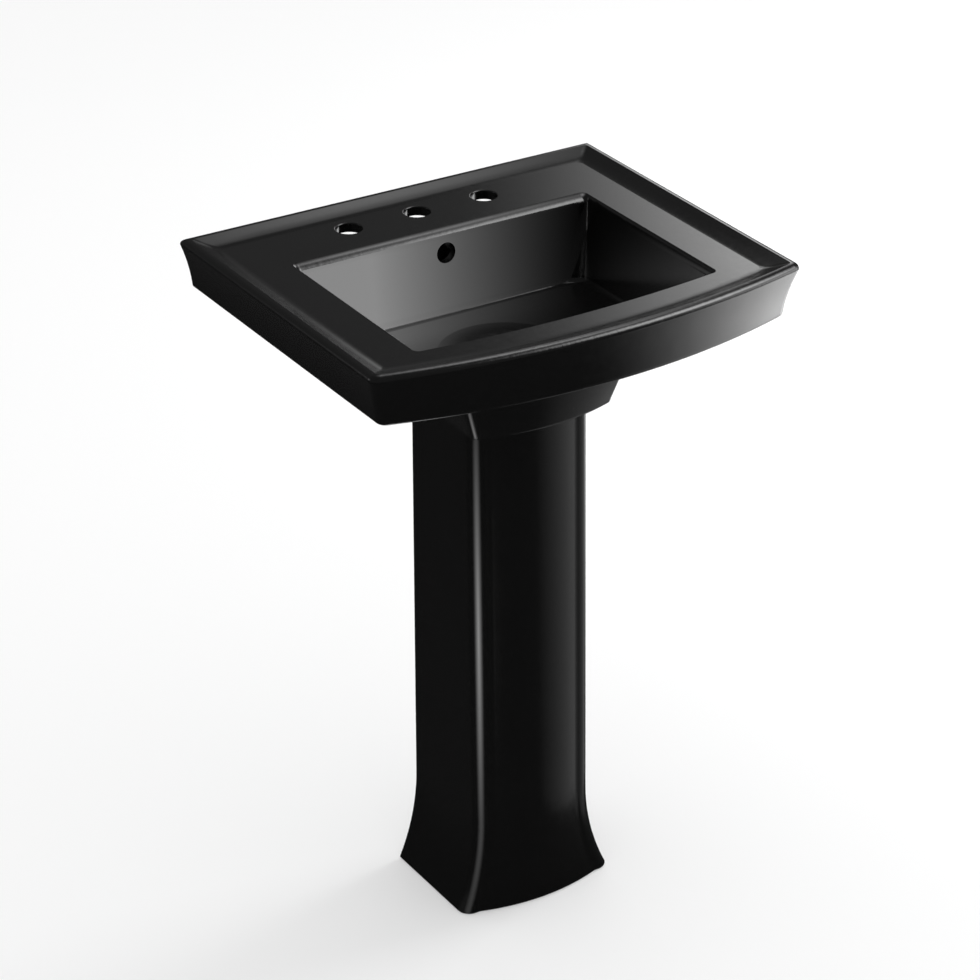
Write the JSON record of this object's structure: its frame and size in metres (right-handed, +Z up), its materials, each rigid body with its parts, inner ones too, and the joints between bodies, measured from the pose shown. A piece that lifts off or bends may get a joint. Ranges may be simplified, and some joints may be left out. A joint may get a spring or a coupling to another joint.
{
  "type": "pedestal sink",
  "caption": "Bowed-front pedestal sink in gloss black china with a rectangular bowl, holes for a widespread faucet, push-button drain and trap behind a flared column.",
  "frame": {"origin": "on the floor under the middle of the sink's outline, halfway between the wall face and the frontmost point of the rim", "axes": "+X to the right of a person at the sink, +Y towards the wall, +Z up"},
  "size_m": [0.619, 0.519, 0.893],
  "materials": {
    "black_china": "gloss black glaze on vitreous china",
    "rubber_grey": "moulded soft pad",
    "rubber_black": "moulded ring",
    "chrome_brass": "polished chrome plate on brass",
    "cast_brass": "bare cast brass",
    "turned_brass": "turned brass",
    "acetal_white": "moulded acetal",
    "spring_steel": "drawn spring wire"
  },
  "bodies": {
    "sink": {"basin": "black_china", "pedestal": "black_china", "bedding_pads": "rubber_grey", "drain_body": "chrome_brass", "flange_gasket": "rubber_black", "lower_gasket": "rubber_black", "friction_washer": "acetal_white", "drain_locknut": "cast_brass", "cartridge_housing": "acetal_white", "cartridge_spring": "spring_steel", "tailpiece": "chrome_brass", "tailpiece_washer": "acetal_white", "trap_inlet_nut": "chrome_brass", "trap_inlet_washer": "rubber_black", "trap_bend": "chrome_brass", "trap_union_nut": "chrome_brass", "trap_union_washer": "rubber_black", "trap_arm": "chrome_brass", "cleanout_plug": "chrome_brass", "cleanout_washer": "rubber_black"},
    "stopper": {"stopper_cap": "chrome_brass", "stopper_seal": "rubber_black", "stopper_stem": "turned_brass"}
  },
  "joints": [
    {"name": "stopper_press", "type": "slide", "parent": "sink", "child": "stopper", "axis": [0, 0, 1], "range_m": [-0.009, 0], "stiffness_N_per_m": 300, "springref_m": 0.015, "deforming": ["cartridge_spring"]}
  ]
}
